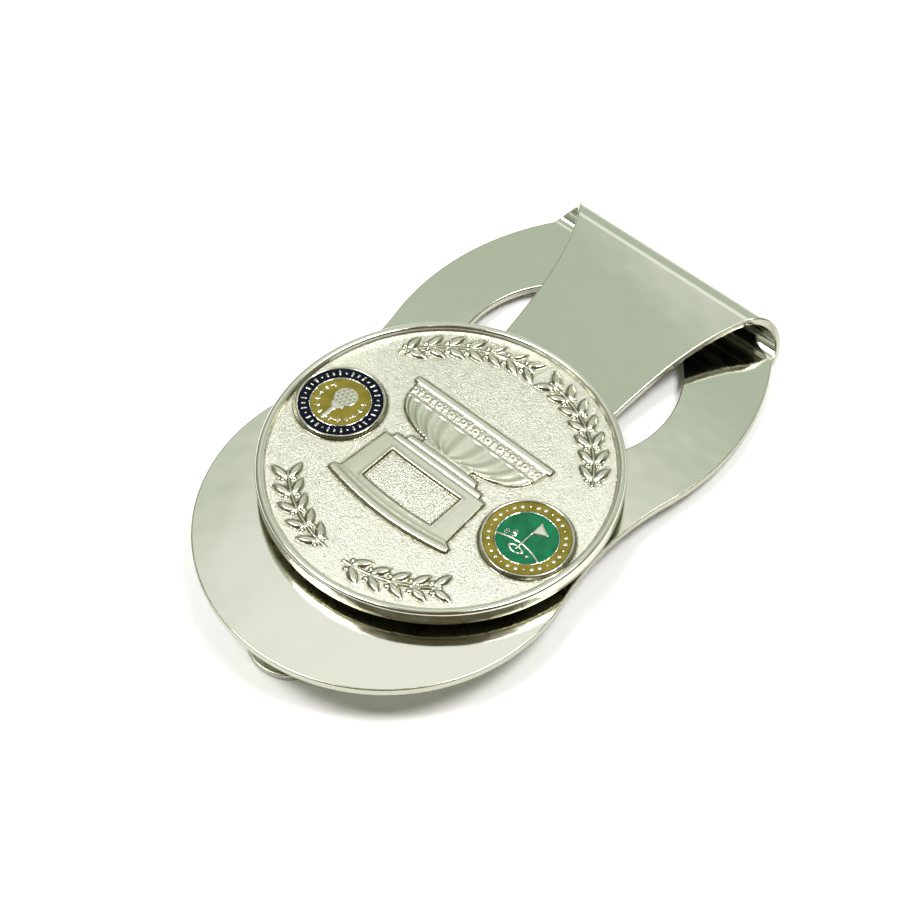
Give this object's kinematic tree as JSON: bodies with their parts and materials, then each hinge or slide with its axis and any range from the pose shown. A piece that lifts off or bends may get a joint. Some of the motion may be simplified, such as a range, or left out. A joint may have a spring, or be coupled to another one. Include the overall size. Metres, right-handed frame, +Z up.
{
  "type": "ball marker",
  "caption": "Folded spring-metal money clip with a disc lobe, a windowed ring lobe and a spring tongue, carrying a struck, enamelled coin ball marker that lifts off a magnet.",
  "frame": {"origin": "middle of the bounding box's bottom face: the clip lies on the plane z = 0, on its tongue tip and its fold", "axes": "+X from the disc lobe to the fold, along the clip's length; +Z up; the coin faces up, and the plate slopes down towards the fold by 4.8 degrees"},
  "size_m": [0.066, 0.0402, 0.0085],
  "materials": {
    "polished_nickel": "polished nickel plate with faint wear",
    "struck_nickel": "struck, stippled field, bright rim and relief",
    "magnet_plating": "bright plating",
    "adhesive": "cured film",
    "navy_enamel": "glossy soft enamel",
    "gold_enamel": "olive-gold enamel",
    "green_enamel": "glossy green enamel"
  },
  "bodies": {
    "clip": {"clip_plate": "polished_nickel", "magnet_adhesive": "adhesive", "magnet": "magnet_plating"},
    "tongue": {"spring_tongue": "polished_nickel"},
    "marker": {"marker_coin": "struck_nickel", "left_badge_ring_enamel": "navy_enamel", "left_badge_field_enamel": "gold_enamel", "right_badge_ring_enamel": "gold_enamel", "right_badge_sky_enamel": "green_enamel", "right_badge_turf_enamel": "green_enamel"}
  },
  "joints": [
    {"name": "tongue_flex", "type": "hinge", "parent": "clip", "child": "tongue", "pos_m": [0.03043, 0, 0.0026], "axis": [0, -1, 0], "range_deg": [0, 6], "stiffness_Nm_per_rad": 2},
    {"name": "marker_lift", "type": "slide", "parent": "clip", "child": "marker", "axis": [0.0835, 0, 0.9965], "range_m": [0, 0.02]}
  ]
}
